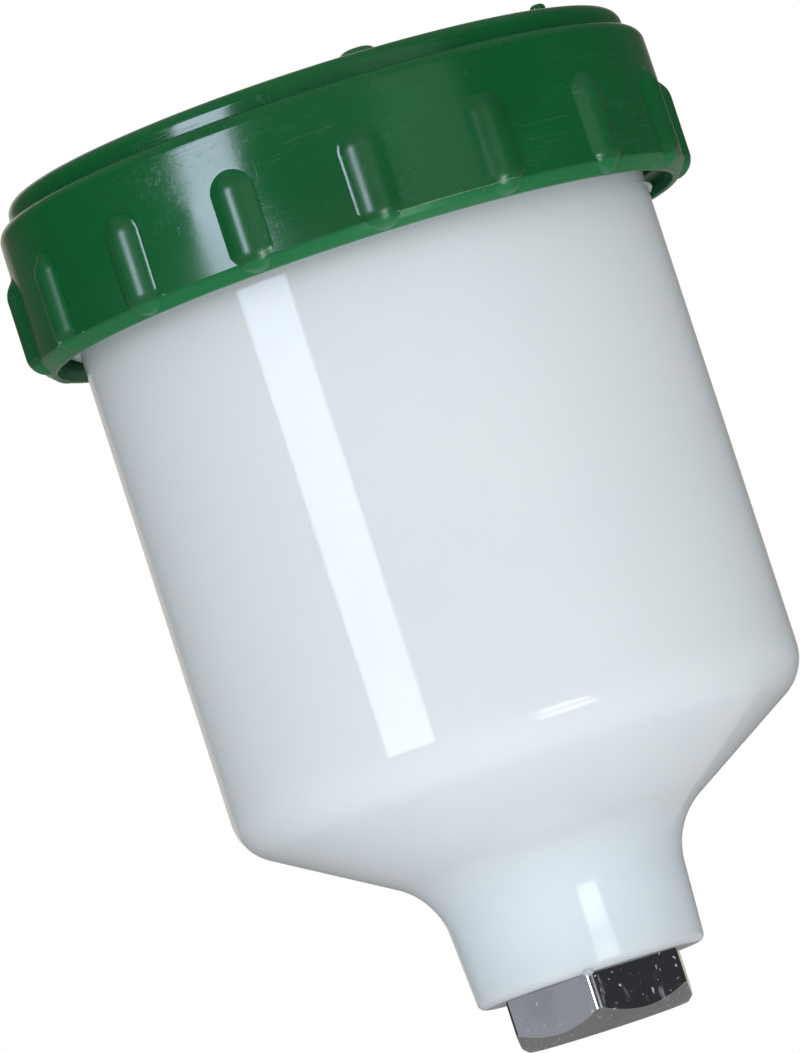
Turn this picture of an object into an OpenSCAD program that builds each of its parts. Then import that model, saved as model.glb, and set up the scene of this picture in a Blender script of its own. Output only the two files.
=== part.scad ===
// Gravity-feed paint cup for a spray gun, with its screw lid.
// Millimetres. +Z runs up through the lid, and the origin is the centre of the nut's lower face.

/* [Cup] */
// Outer diameter of the cup's barrel
cup_d = 70; // [62:1:90]
// Wall of the barrel and the cone
cup_wall = 2; // [1.6:0.1:2.6]
// Length of the barrel, from the corner where the cone starts to the rim
barrel_len = 77.9; // [60:1:120]
// Angle between the cone's wall and the cup's axis
cone_angle = 59; // [50:1:65]
// Radius that blends the cone into the barrel
shoulder_round = 5; // [3:0.5:8]
// Radius of the rim's edges
lip_round = 0.6; // [0.3:0.1:0.7]

/* [Neck] */
// Diameter of the neck at its lower end
neck_low_d = 27.9; // [27:0.1:29]
// Diameter of the neck where it meets the cone
neck_top_d = 29.5; // [28.5:0.1:31]
// Length of the neck, up to the corner where the cone starts
neck_len = 14.3; // [12:0.1:20]
// Radius that blends the neck into the cone
neck_round = 9; // [3:0.5:10]
// Radius of the neck's lower edge
neck_edge = 1; // [0.5:0.1:1.2]

/* [Insert] */
// Width of the hexagon across its flats
hex_flats = 21; // [20:0.5:22.5]
// Turn of the hexagon about the cup's axis
hex_turn = -2; // [-30:1:30]
// Height of the hexagon that shows below the neck
hex_show = 6.3; // [5:0.1:8]
// Height of the hexagon that is moulded into the neck
hex_sunk = 1; // [0.6:0.1:1.6]
// Diameter of the flat ring left inside the lower chamfer
hex_land_d = 19.7; // [18:0.1:20.4]
// Height of the lower chamfer at the hexagon's corners
hex_chamfer_h = 2.1; // [1:0.05:2.5]
// Crest diameter of the female thread that takes the gun
thread_d = 14.4; // [13:0.1:15]
// Depth of the threaded bore
thread_len = 11.5; // [9:0.1:12]
// Chamfer at the mouth of the threaded bore
mouth_chamfer = 0.8; // [0.3:0.1:1]
// Diameter of the paint passage above the thread
throat_d = 11.6; // [11.4:0.1:12.4]
// Diameter of the moulded stem above the hexagon
stem_d = 21; // [19:0.1:22]
// Width of each ring groove that keys the stem into the neck
groove_w = 1.4; // [0.8:0.1:1.8]
// Depth of each ring groove
groove_deep = 1; // [0.5:0.1:1.5]
// Number of ring grooves
groove_count = 2; // [1:1:2]
// Cup floor left over the top of the insert, at its bore
floor_t = 1.1; // [0.8:0.1:1.6]

/* [Strainer] */
// Diameter of the counterbore that seats the strainer
seat_d = 14.4; // [14:0.1:15]
// Depth of the counterbore
seat_deep = 4; // [3:0.1:4.5]
// Radial clearance of the strainer's collar in its seat
collar_fit = 0.08; // [0.05:0.01:0.1]
// Bore of the strainer's collar
collar_bore_d = 10.4; // [9:0.1:10.6]
// Height of the collar that stands above its seat
collar_show = 1.6; // [1.2:0.1:3]
// Length of the gauze sleeve
gauze_len = 24; // [16:1:30]
// Outer diameter of the gauze sleeve
gauze_d = 11.6; // [11.2:0.1:11.8]
// Thickness of the gauze
gauze_t = 0.4; // [0.3:0.05:0.5]
// Number of legs round the gauze
leg_count = 4; // [3:1:6]
// Width of each leg
leg_w = 2; // [1.4:0.1:2.6]
// Thickness of the cap on the strainer
cap_t = 1.2; // [0.8:0.1:2]
// Diameter of the finger knob on the cap
knob_d = 4; // [3:0.1:6]
// Height of the finger knob
knob_h = 4.2; // [3:0.1:8]

/* [Lid] */
// Radial gap between the barrel and the lid's skirt, which the two threads share
thread_gap = 3.2; // [2.4:0.1:3.6]
// Wall of the skirt at its lower edge
lid_wall = 2; // [1.9:0.1:2.6]
// Height of the whole lid
lid_h = 21.1; // [16:0.1:30]
// How far the skirt leans in over its height
lid_draft = 0.2; // [0:0.05:0.3]
// Radius of the skirt's outer lower edge
rim_round = 1.6; // [1:0.1:1.7]
// Radius of the skirt's inner lower edge
skirt_edge = 0.2; // [0.1:0.05:0.3]
// Height of the raised disc above the shoulder
disc_rise = 2.75; // [2:0.05:3.6]
// Width of the rounded shoulder round the disc
shoulder_w = 1.9; // [1.4:0.1:2]
// Radius of the disc's upper edge
disc_edge = 1.7; // [0.5:0.1:1.8]
// Thickness of the lid's roof
roof_t = 2; // [1.6:0.1:2.4]

/* [Ribs] */
// Number of grip ribs
rib_count = 16; // [8:1:24]
// Turn of the first rib from the front
rib_turn = 4; // [0:1:22]
// Width of each rib where it leaves the skirt
rib_w = 4.5; // [3:0.1:5.5]
// How far each rib stands out of the skirt
rib_rise = 1.05; // [0.6:0.05:1.4]
// Distance from the shoulder down to the ribs' domed ends
rib_drop = 6.4; // [4:0.1:9]
// Radius of the ribs' lower ends
rib_foot_round = 2.6; // [1.8:0.1:2.6]
// Height of the ribs' lower ends above the skirt's lower edge
rib_foot_h = 0.1; // [0.05:0.05:0.3]

/* [Seal] */
// Thickness of the sealing ring
seal_t = 1.6; // [1.2:0.1:2.4]
// Width of the recess outside the cup's rim
recess_w = 1.3; // [1:0.1:1.6]
// Radial play between the cup's rim and the ring wall that centres the lid
rim_play = 0.7; // [0.4:0.1:1]
// Thickness of that ring wall
ring_t = 1.15; // [0.9:0.05:1.6]
// Clearance of the sealing ring in its recess
seal_fit = 0.1; // [0.05:0.01:0.2]

/* [Drip disc] */
// Thickness of the drip disc
drip_t = 1.2; // [0.8:0.1:1.4]
// Air space between the drip disc and the roof
drip_gap = 2.1; // [1.9:0.1:2.6]
// Thickness of the drip disc's edge wall
drip_edge_t = 1.2; // [0.8:0.1:2]
// Clearance of the drip disc inside the ring wall
drip_fit = 0.05; // [0.02:0.01:0.1]
// Diameter of the drip disc's air hole
drip_hole_d = 3; // [2:0.1:5]

/* [Vent] */
// Distance of the stud to the right of the lid's centre
stud_x = 7; // [4:0.5:10]
// Distance of the stud in front of the lid's centre
stud_y = 14; // [0:0.5:16]
// Turn of the closed shutter from straight to the right
vent_turn = 20; // [0:1:40]
// Distance from the stud to the vent hole
vent_reach = 21.6; // [12:0.1:23]
// Diameter of the vent hole
vent_hole_d = 2.5; // [1.5:0.1:3]
// Diameter of the stud's domed head
stud_d = 6.4; // [4:0.1:7]
// Height of the stud's head above the roof
stud_h = 3.45; // [3:0.05:5]
// Height of the dome on the stud's head
stud_dome_h = 1.35; // [0.6:0.05:1.6]
// Diameter of the stud's stem
stem_pin_d = 3; // [2.4:0.1:3.2]
// Clearance between the stud's stem and the shutter
pivot_fit = 0.06; // [0.03:0.01:0.1]
// Diameter of the stud's foot under the roof
foot_d = 5.2; // [4:0.1:7]
// Thickness of the stud's foot
foot_t = 0.8; // [0.5:0.1:1.2]
// Thickness of the vent shutter
shutter_t = 1; // [0.8:0.1:1.4]
// Width of the shutter at the stud
shutter_hub_w = 8.4; // [7.4:0.1:10]
// Width of the shutter at the vent hole
shutter_tip_w = 5.6; // [4:0.1:7]
// Gap under and over the shutter
shutter_gap = 0.1; // [0.05:0.01:0.2]
// Diameter of the shutter's finger nub
nub_d = 2; // [1.5:0.1:4]
// Height of the finger nub above the shutter
nub_h = 1.7; // [0.6:0.05:3]
// Distance of the finger nub beyond the vent hole
nub_out = 1.8; // [0:0.1:2.4]

/* [Hidden] */

// Segments in each rounded corner of an outline
round_steps = 8;
// How far a cutting solid runs past the face that it opens
past = 1;

// Heights of the cup, from the nut's lower face
neck_z = hex_show;
cone_z = neck_z + neck_len;
cup_r = cup_d / 2;
barrel_z = cone_z + (cup_r - neck_top_d / 2) / tan(cone_angle);
rim_z = barrel_z + barrel_len;

// The cone's inner face lies one wall inside its outer face
cone_lift = cup_wall / sin(cone_angle);
cup_inner_r = cup_r - cup_wall;
hole_r = seat_d / 2;
floor_z = cone_z + cone_lift - (neck_top_d / 2 - hole_r) / tan(cone_angle);
inner_barrel_z = floor_z + (cup_inner_r - hole_r) / tan(cone_angle);

// Heights of the insert
hex_top_z = hex_show + hex_sunk;
insert_top_z = floor_z - floor_t;
seat_z = insert_top_z - seat_deep;
groove_step = (insert_top_z - hex_top_z) / (groove_count + 1);
hex_corner_d = hex_flats / cos(30);

// The chamfer's cone runs on past the hexagon's corners, up to this radius and height
outside_r = hex_corner_d / 2 + past;
outside_z = hex_chamfer_h * (outside_r - hex_land_d / 2) / (hex_corner_d / 2 - hex_land_d / 2);

// Heights of the strainer
collar_r = hole_r - collar_fit;
collar_top_z = floor_z + collar_show;
cap_z = collar_top_z + gauze_len;
leg_in_r = gauze_d / 2 + collar_fit;

// Heights and radii of the lid
ceiling_z = rim_z + seal_t;
disc_z = ceiling_z + roof_t;
shoulder_z = disc_z - disc_rise;
lid_z = disc_z - lid_h;
skirt_in_r = cup_r + thread_gap;
skirt_low_r = skirt_in_r + lid_wall;
skirt_top_r = skirt_low_r - lid_draft;
disc_r = skirt_top_r - shoulder_w;
recess_r = cup_r + recess_w;
recess_z = shoulder_z - lid_wall;
ring_out_r = cup_inner_r - rim_play;
ring_in_r = ring_out_r - ring_t;
ring_low_z = rim_z - cup_wall / 2;

// A rib is part of a round bar whose flank meets the skirt at rib_w
rib_r = (pow(rib_w / 2, 2) + pow(rib_rise, 2)) / (2 * rib_rise);
rib_crest_r = skirt_low_r + rib_rise;
rib_axis_r = rib_crest_r - rib_r;
rib_dome_z = shoulder_z - rib_drop - rib_w / 2;

// The skirt's and the ribs' lower radii are limited by the wall that they round
rim_r = min(rim_round, lid_wall - 2 * skirt_edge);
foot_r = skirt_low_r - rim_r;
rib_foot_z = lid_z + rib_foot_h;
rib_foot_r = min(rib_foot_round, rib_crest_r - foot_r);

// The drip disc hangs from the ceiling inside the ring wall
drip_r = ring_in_r - drip_fit;
drip_z = ceiling_z - drip_gap - drip_t;
shutter_z = disc_z + shutter_gap;
stud_seat_z = shutter_z + shutter_t + shutter_gap;
stud_top_z = disc_z + stud_h;
nub_reach = vent_reach + nub_out;

// Direction from one point to another, as a vector of length 1
function heading(from, to) = (to - from) / norm(to - from);

// Points of an arc of radius r that rounds the corner p between its neighbours a and b
function corner_arc(p, a, b, r) =
    let(u = heading(p, a), v = heading(p, b), half = acos(u * v) / 2)
    let(c = p + heading([0, 0], u + v) * r / sin(half), s = p + u * r / tan(half))
    let(e = p + v * r / tan(half), from = atan2(s.y - c.y, s.x - c.x))
    let(sweep = (atan2(e.y - c.y, e.x - c.x) - from + 540) % 360 - 180)
    [for (i = [0 : round_steps]) c + r * [cos(from + sweep * i / round_steps),
                                          sin(from + sweep * i / round_steps)]];

// Outline of [x, y, radius] corners, with each corner rounded to its own radius
function rounded(corners) =
    let(n = len(corners), flat = [for (c = corners) [c.x, c.y]])
    [for (i = [0 : n - 1])
        each (corners[i].z > 0
            ? corner_arc(flat[i], flat[(i + n - 1) % n], flat[(i + 1) % n], corners[i].z)
            : [flat[i]])];

// Solid of revolution from [radius, height, corner radius] points
module turned(corners) {
    rotate_extrude($fn = 180) polygon(rounded(corners));
}

// Outer shape of the insert, which the neck is moulded round
module insert_blank() {
    intersection() {
        rotate([0, 0, hex_turn - 90]) cylinder(d = hex_corner_d, h = hex_top_z, $fn = 6);
        turned([
            [0, 0, 0], [hex_land_d / 2, 0, 0], [outside_r, outside_z, 0],
            [outside_r, hex_top_z + past, 0], [0, hex_top_z + past, 0]
        ]);
    }
    translate([0, 0, hex_top_z - hex_sunk]) difference() {
        cylinder(d = stem_d, h = insert_top_z - hex_top_z + hex_sunk, $fn = 120);
        for (i = [1 : groove_count]) translate([0, 0, hex_sunk + i * groove_step]) ring_groove();
    }
}

// Ring cut out of the stem
module ring_groove() {
    translate([0, 0, -groove_w / 2]) difference() {
        cylinder(d = stem_d + 2 * past, h = groove_w, $fn = 120);
        translate([0, 0, -past])
            cylinder(d = stem_d - 2 * groove_deep, h = groove_w + 2 * past, $fn = 120);
    }
}

// Clear nylon cup: barrel, cone and neck in one moulding
module cup_body() {
    color([0.86, 0.9, 0.92]) difference() {
        turned([
            [0, neck_z, 0], [neck_low_d / 2, neck_z, neck_edge], [neck_top_d / 2, cone_z, neck_round],
            [cup_r, barrel_z, shoulder_round], [cup_r, rim_z, lip_round], [0, rim_z, 0]
        ]);
        turned([
            [0, insert_top_z - past, 0], [hole_r, insert_top_z - past, 0], [hole_r, floor_z, 0],
            [cup_inner_r, inner_barrel_z, shoulder_round - cup_wall],
            [cup_inner_r, rim_z - lip_round, 0], [cup_inner_r + lip_round, rim_z, 0],
            [cup_inner_r + lip_round, rim_z + past, 0], [0, rim_z + past, 0]
        ]);
        insert_blank();
    }
}

// Plated hexagon insert with the female thread's bore, a passage and the strainer's seat
module thread_insert() {
    color([0.72, 0.73, 0.75]) difference() {
        insert_blank();
        turned([
            [0, -past, 0], [thread_d / 2 + mouth_chamfer + past, -past, 0],
            [thread_d / 2, mouth_chamfer, 0], [thread_d / 2, thread_len, 0], [0, thread_len, 0]
        ]);
        cylinder(d = throat_d, h = insert_top_z + past, $fn = 96);
        translate([0, 0, seat_z]) cylinder(r = hole_r, h = seat_deep + past, $fn = 96);
    }
}

// Moulded cage of the lift-out strainer: collar, legs, cap and finger knob
module strainer_frame() {
    color([0.93, 0.93, 0.9]) {
        turned([
            [collar_bore_d / 2, seat_z, 0], [collar_r - 0.3, seat_z, 0], [collar_r, seat_z + 0.3, 0],
            [collar_r, collar_top_z, 0], [collar_bore_d / 2, collar_top_z, 0]
        ]);
        intersection() {
            for (i = [0 : leg_count - 1]) rotate([0, 0, 360 * i / leg_count])
                translate([leg_in_r, -leg_w / 2, collar_top_z]) cube([collar_r, leg_w, gauze_len]);
            cylinder(r = collar_r, h = cap_z + past, $fn = 96);
        }
        turned([
            [0, cap_z, 0], [collar_r, cap_z, 0], [collar_r, cap_z + cap_t, cap_t / 3],
            [knob_d / 2, cap_z + cap_t, 0], [knob_d / 2, cap_z + cap_t + knob_h, knob_d / 4],
            [0, cap_z + cap_t + knob_h, 0]
        ]);
    }
}

// Gauze sleeve inside the strainer's cage
module strainer_gauze() {
    color([0.8, 0.82, 0.8]) translate([0, 0, collar_top_z]) difference() {
        cylinder(d = gauze_d, h = gauze_len, $fn = 96);
        translate([0, 0, -past]) cylinder(d = gauze_d - 2 * gauze_t, h = gauze_len + 2 * past, $fn = 96);
    }
}

// Grip ribs: domed bars whose feet roll under the skirt's lower edge
module grip_ribs() {
    intersection() {
        for (i = [0 : rib_count - 1]) rotate([0, 0, rib_turn - 90 + 360 * i / rib_count])
            translate([rib_axis_r, 0, 0]) {
                translate([0, 0, lid_z - past]) cylinder(r = rib_r, h = rib_dome_z - lid_z + past, $fn = 48);
                translate([0, 0, rib_dome_z]) sphere(r = rib_r, $fn = 48);
            }
        turned([
            [skirt_low_r - lid_wall / 2, lid_z + lid_wall / 4, 0], [foot_r, rib_foot_z, 0],
            [rib_crest_r, rib_foot_z, rib_foot_r],
            [rib_crest_r, shoulder_z, 0], [skirt_low_r - lid_wall / 2, shoulder_z, 0]
        ]);
    }
}

// Green screw lid: skirt, rounded shoulder, raised disc, seal recess and centring ring
module lid() {
    color([0.05, 0.32, 0.13]) difference() {
        union() {
            turned([
                [skirt_in_r, lid_z, skirt_edge], [skirt_low_r, lid_z, rim_r],
                [skirt_top_r, shoulder_z, shoulder_w - 0.1], [disc_r, shoulder_z, 0],
                [disc_r, disc_z, disc_edge], [0, disc_z, 0], [0, ceiling_z, 0], [ring_in_r, ceiling_z, 0],
                [ring_in_r, ring_low_z, 0], [ring_out_r, ring_low_z, 0], [ring_out_r, ceiling_z, 0],
                [recess_r, ceiling_z, 0], [recess_r, recess_z, 0], [skirt_in_r, recess_z, 0]
            ]);
            grip_ribs();
        }
        translate([stud_x, -stud_y, ceiling_z - past]) rotate([0, 0, vent_turn]) {
            cylinder(d = stem_pin_d, h = roof_t + 2 * past, $fn = 48);
            translate([vent_reach, 0, 0]) cylinder(d = vent_hole_d, h = roof_t + 2 * past, $fn = 48);
        }
    }
}

// Flat sealing ring between the cup's rim and the lid's roof
module lid_gasket() {
    color([0.9, 0.9, 0.88]) turned([
        [ring_out_r + seal_fit, rim_z, 0], [recess_r - seal_fit, rim_z, 0],
        [recess_r - seal_fit, ceiling_z, 0], [ring_out_r + seal_fit, ceiling_z, 0]
    ]);
}

// Shallow tray under the roof that keeps paint out of the vent hole
module drip_disc() {
    color([0.9, 0.92, 0.92]) difference() {
        turned([
            [0, drip_z, 0], [drip_r, drip_z, drip_t / 3], [drip_r, ceiling_z, 0],
            [drip_r - drip_edge_t, ceiling_z, 0], [drip_r - drip_edge_t, drip_z + drip_t, 0],
            [0, drip_z + drip_t, 0]
        ]);
        translate([-stud_x - vent_reach / 2, stud_y, drip_z - past])
            cylinder(d = drip_hole_d, h = drip_t + 2 * past, $fn = 48);
    }
}

// Stud with a domed head, which the shutter turns on
module vent_stud() {
    color([0.05, 0.34, 0.14]) translate([stud_x, -stud_y, 0]) turned([
        [0, ceiling_z - foot_t, 0], [foot_d / 2, ceiling_z - foot_t, 0], [foot_d / 2, ceiling_z, 0],
        [stem_pin_d / 2, ceiling_z, 0], [stem_pin_d / 2, stud_seat_z, 0], [stud_d / 2, stud_seat_z, 0],
        [stud_d / 2, stud_top_z - stud_dome_h, stud_dome_h / 2],
        [stud_d / 4, stud_top_z - stud_dome_h / 10, stud_d / 4], [0, stud_top_z, 0]
    ]);
}

// Flat shutter that swings over the vent hole, with a finger nub at its free end
module vent_shutter() {
    color([0.07, 0.36, 0.16]) translate([stud_x, -stud_y, shutter_z]) rotate([0, 0, vent_turn]) {
        difference() {
            hull() {
                cylinder(d = shutter_hub_w, h = shutter_t, $fn = 48);
                translate([nub_reach, 0, 0]) cylinder(d = shutter_tip_w, h = shutter_t, $fn = 48);
            }
            translate([0, 0, -past])
                cylinder(d = stem_pin_d + 2 * pivot_fit, h = shutter_t + 2 * past, $fn = 48);
        }
        translate([nub_reach, 0, 0]) turned([
            [0, shutter_t / 2, 0], [nub_d / 2, shutter_t / 2, 0],
            [nub_d / 2, shutter_t + nub_h, nub_d / 4], [0, shutter_t + nub_h, 0]
        ]);
    }
}

cup_body();
thread_insert();
strainer_frame();
strainer_gauze();
lid();
lid_gasket();
drip_disc();
vent_stud();
vent_shutter();
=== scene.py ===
"""Looks of a gravity-feed paint cup: nylon cup, plated insert and ribbed green screw lid.

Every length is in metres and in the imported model's frame, whose +Z runs up through the lid.
"""

import logging
import math
from dataclasses import dataclass, field
from enum import Enum
from typing import Any, Callable, Sequence

import bmesh
import bpy
from mathutils import Matrix, Vector


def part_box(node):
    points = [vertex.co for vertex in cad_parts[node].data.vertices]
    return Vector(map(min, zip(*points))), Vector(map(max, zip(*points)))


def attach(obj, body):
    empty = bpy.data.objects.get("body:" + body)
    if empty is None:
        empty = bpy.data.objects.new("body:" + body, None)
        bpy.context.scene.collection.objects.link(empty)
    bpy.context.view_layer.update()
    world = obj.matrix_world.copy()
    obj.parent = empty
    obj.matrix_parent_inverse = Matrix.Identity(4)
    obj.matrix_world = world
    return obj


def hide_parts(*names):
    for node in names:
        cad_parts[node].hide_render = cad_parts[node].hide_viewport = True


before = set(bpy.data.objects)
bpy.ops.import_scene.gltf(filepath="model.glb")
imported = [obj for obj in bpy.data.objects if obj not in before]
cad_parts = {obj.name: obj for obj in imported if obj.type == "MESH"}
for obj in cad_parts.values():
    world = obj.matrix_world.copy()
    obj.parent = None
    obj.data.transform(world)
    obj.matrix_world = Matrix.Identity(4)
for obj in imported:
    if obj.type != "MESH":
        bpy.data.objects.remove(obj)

MM = 0.001
WALL_SEGMENTS = 240
HOLE_SEGMENTS = 48
SMOOTH_ANGLE = math.radians(28)
WELD = 1e-7

log = logging.getLogger("paint_cup")

Point = tuple[float, float]
Place = tuple[float, float, float]
Colour = tuple[float, float, float]
Piece = bpy.types.Object
Material = bpy.types.Material
Socket = bpy.types.NodeSocket
BMesh = bmesh.types.BMesh


class Body(Enum):
    """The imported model's moving bodies."""

    CUP = "cup"
    STRAINER = "strainer"
    SEAL = "seal"
    LID = "lid"
    SHUTTER = "shutter"


@dataclass(frozen=True)
class Corner:
    """One corner of an outline, with the radius that rounds it and the steps of its arc."""

    x: float
    y: float
    radius: float = 0.0
    steps: int = 12


def rounded(corners: Sequence[Corner]) -> list[Point]:
    """Turns corners into the points of a closed outline.

    Args:
        corners: the outline's corners, in order.

    Returns:
        The outline's points, with an arc at each corner that has a radius.
    """
    points: list[Point] = []
    for index, corner in enumerate(corners):
        here = Vector((corner.x, corner.y))
        if corner.radius <= 0:
            points.append((here.x, here.y))
            continue
        before, after = corners[index - 1], corners[(index + 1) % len(corners)]
        back = (Vector((before.x, before.y)) - here).normalized()
        ahead = (Vector((after.x, after.y)) - here).normalized()
        half = back.angle(ahead) / 2
        centre = here + (back + ahead).normalized() * corner.radius / math.sin(half)
        start = here + back * corner.radius / math.tan(half) - centre
        sweep = back.angle_signed(-ahead)
        for step in range(corner.steps + 1):
            arm = start.copy()
            arm.rotate(Matrix.Rotation(-sweep * step / corner.steps, 2))
            points.append((centre.x + arm.x, centre.y + arm.y))
    return points


def even_angles(count: int) -> list[float]:
    """Angles that divide a full turn evenly."""
    return [math.tau * index / count for index in range(count)]


def add_object(name: str, data: bpy.types.ID) -> bpy.types.Object:
    """Adds an object to the scene.

    Args:
        name: the object's name.
        data: its mesh, light or camera.

    Returns:
        The new object, at the origin.
    """
    added = bpy.data.objects.new(name, data)
    bpy.context.scene.collection.objects.link(added)
    return added


def keep_mesh(name: str, bm: BMesh) -> Piece:
    """Makes a smoothly shaded object of a mesh.

    Args:
        name: the object's name.
        bm: the mesh, which is freed.

    Returns:
        The new object.
    """
    mesh = bpy.data.meshes.new(name)
    bm.to_mesh(mesh)
    bm.free()
    piece = add_object(name, mesh)
    soften(piece)
    return piece


def keep_solid(name: str, bm: BMesh) -> Piece:
    """Makes an object of a closed mesh, whose faces are turned outwards first."""
    bmesh.ops.recalc_face_normals(bm, faces=bm.faces)
    return keep_mesh(name, bm)


def soften(piece: Piece) -> None:
    """Shades a piece smooth, apart from its sharp edges, with normals that follow its large faces.

    Args:
        piece: the piece, which gets the modifier that weights its normals unless it has it.
    """
    piece.data.shade_smooth()
    piece.data.set_sharp_from_angle(angle=SMOOTH_ANGLE)
    if "normals" not in piece.modifiers:
        piece.modifiers.new("normals", "WEIGHTED_NORMAL").keep_sharp = True


def bridge(bm: BMesh, ring: Sequence[bmesh.types.BMVert], following: Sequence[bmesh.types.BMVert]) -> None:
    """Adds the faces between two closed rings.

    Args:
        bm: the mesh that takes the faces.
        ring: one ring's vertices.
        following: the next ring's, as many, some of which may be the same.
    """
    for index in range(len(ring)):
        after = (index + 1) % len(ring)
        corners = list(dict.fromkeys((ring[index], ring[after], following[after], following[index])))
        if len(corners) > 2:
            bm.faces.new(corners)


def sweep_round(bm: BMesh, section: Callable[[float], list[Point]], angles: Sequence[float],
                centre: Point = (0.0, 0.0)) -> None:
    """Adds a closed section swept once about a vertical axis.

    Args:
        bm: the mesh that takes the faces.
        section: gives the closed section's (radius, height) points at an angle.
        angles: the angles of the columns, in order round the axis.
        centre: where the axis stands.
    """
    columns: list[list[bmesh.types.BMVert]] = []
    poles: dict[int, bmesh.types.BMVert] = {}
    for angle in angles:
        column = []
        for index, (radius, height) in enumerate(section(angle)):
            if radius < WELD:
                if index not in poles:
                    poles[index] = bm.verts.new((centre[0], centre[1], height))
                column.append(poles[index])
            else:
                place = (centre[0] + radius * math.cos(angle), centre[1] + radius * math.sin(angle), height)
                column.append(bm.verts.new(place))
        columns.append(column)
    for column, following in zip(columns, columns[1:] + columns[:1]):
        bridge(bm, column, following)


def turned(name: str, corners: Sequence[Corner], centre: Point = (0.0, 0.0),
           segments: int = WALL_SEGMENTS) -> Piece:
    """Makes a solid of revolution from the corners of its closed section.

    Args:
        name: the object's name.
        corners: the section's corners, as radius and height.
        centre: where the axis stands.
        segments: how many columns go round.

    Returns:
        The new object.
    """
    outline = rounded(corners)
    bm = bmesh.new()
    sweep_round(bm, lambda angle: outline, even_angles(segments), centre)
    return keep_solid(name, bm)


def as_plain_mesh(piece: Piece, name: str) -> Piece:
    """Turns a piece with live modifiers into a plain mesh.

    Args:
        piece: the piece, which is removed.
        name: the name of the plain piece.

    Returns:
        The plain piece.
    """
    bpy.context.view_layer.update()
    evaluated = piece.evaluated_get(bpy.context.evaluated_depsgraph_get())
    mesh = bpy.data.meshes.new_from_object(evaluated)
    bpy.data.objects.remove(piece)
    mesh.name = name
    return add_object(name, mesh)


def cut(piece: Piece, cutter: Piece) -> Piece:
    """Cuts one solid out of another.

    Args:
        piece: the solid that is cut, which is removed.
        cutter: what is taken out of it, which is removed.

    Returns:
        The cut piece, under the first solid's name.
    """
    name = piece.name
    piece.modifiers.remove(piece.modifiers["normals"])
    modifier = piece.modifiers.new("cut", "BOOLEAN")
    modifier.operation = "DIFFERENCE"
    modifier.solver = "EXACT"
    modifier.object = cutter
    plain = as_plain_mesh(piece, name)
    bpy.data.objects.remove(cutter)
    soften(plain)
    return plain


def drill(piece: Piece, centre: Point, radius: float, low: float, high: float) -> Piece:
    """Drills an upright round hole through a solid.

    Args:
        piece: the solid, which is removed.
        centre: where the hole's axis stands.
        radius: the hole's radius.
        low: where the drill starts.
        high: where it ends.

    Returns:
        The drilled piece, under the solid's name.
    """
    pin = [Corner(0.0, low), Corner(radius, low), Corner(radius, high), Corner(0.0, high)]
    return cut(piece, turned("cutter", pin, centre, HOLE_SEGMENTS))


def join(name: str, pieces: Sequence[Piece]) -> Piece:
    """Joins plain pieces into one object.

    Args:
        name: the name of the joined piece.
        pieces: the pieces, which are removed.

    Returns:
        The joined piece, with its own smooth shading.
    """
    bm = bmesh.new()
    for piece in pieces:
        bm.from_mesh(piece.data)
        bpy.data.objects.remove(piece)
    return keep_mesh(name, bm)


class NodeBuilder:
    """Adds nodes to one node tree: shader, world or geometry."""

    def __init__(self, tree: bpy.types.NodeTree) -> None:
        """Starts with an empty tree."""
        self.tree = tree
        tree.nodes.clear()

    def add(self, kind: str, settings: dict[str, Any] | None = None,
            values: dict[str | int, Any] | None = None) -> bpy.types.Node:
        """Adds one node.

        Args:
            kind: the node's type.
            settings: the node's own properties, which are set first. "stops" sets a colour ramp.
            values: what each input socket gets: a number, a vector, a socket or a Signal.

        Returns:
            The new node.
        """
        node = self.tree.nodes.new(kind)
        for name, setting in (settings or {}).items():
            if name == "stops":
                self._set_stops(node.color_ramp, setting)
            else:
                setattr(node, name, setting)
        for name, value in (values or {}).items():
            socket = node.inputs[name]
            if isinstance(value, Signal):
                self.tree.links.new(value.socket, socket)
            elif isinstance(value, Socket):
                self.tree.links.new(value, socket)
            else:
                socket.default_value = value
        return node

    @staticmethod
    def _set_stops(ramp: bpy.types.ColorRamp, stops: Sequence[tuple[float, Colour]]) -> None:
        """Gives a colour ramp its stops.

        Args:
            ramp: the ramp.
            stops: each stop's place, from 0 to 1, and its colour.
        """
        while len(ramp.elements) < len(stops):
            ramp.elements.new(1.0)
        for element, (position, colour) in zip(ramp.elements, stops):
            element.position = position
            element.color = (*colour, 1.0)

    def signal(self, socket: Socket) -> "Signal":
        """Wraps a number's socket for arithmetic."""
        return Signal(self, socket)

    def axes(self, place: Socket) -> "tuple[Signal, Signal, Signal]":
        """Splits a place or a direction into x, y and z."""
        split = self.add("ShaderNodeSeparateXYZ", values={0: place})
        return tuple(self.signal(split.outputs[axis]) for axis in "XYZ")

    def mix(self, first: Colour | Socket, second: Colour | Socket, share: "Signal | Socket") -> Socket:
        """Blends two colours.

        Args:
            first: the colour where the share is 0.
            second: the colour where it is 1.
            share: how much of the second colour shows.

        Returns:
            The blended colour.
        """
        colours = {index: colour if isinstance(colour, Socket) else (*colour, 1.0)
                   for index, colour in ((6, first), (7, second))}
        return self.add("ShaderNodeMix", {"data_type": "RGBA"}, {0: share, **colours}).outputs[2]

    def either(self, first: bpy.types.Node, second: bpy.types.Node, share: Socket) -> bpy.types.Node:
        """Blends two shaders: the first where the share is 0, the second where it is 1."""
        return self.add("ShaderNodeMixShader", values={0: share, 1: first.outputs[0], 2: second.outputs[0]})


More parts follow.
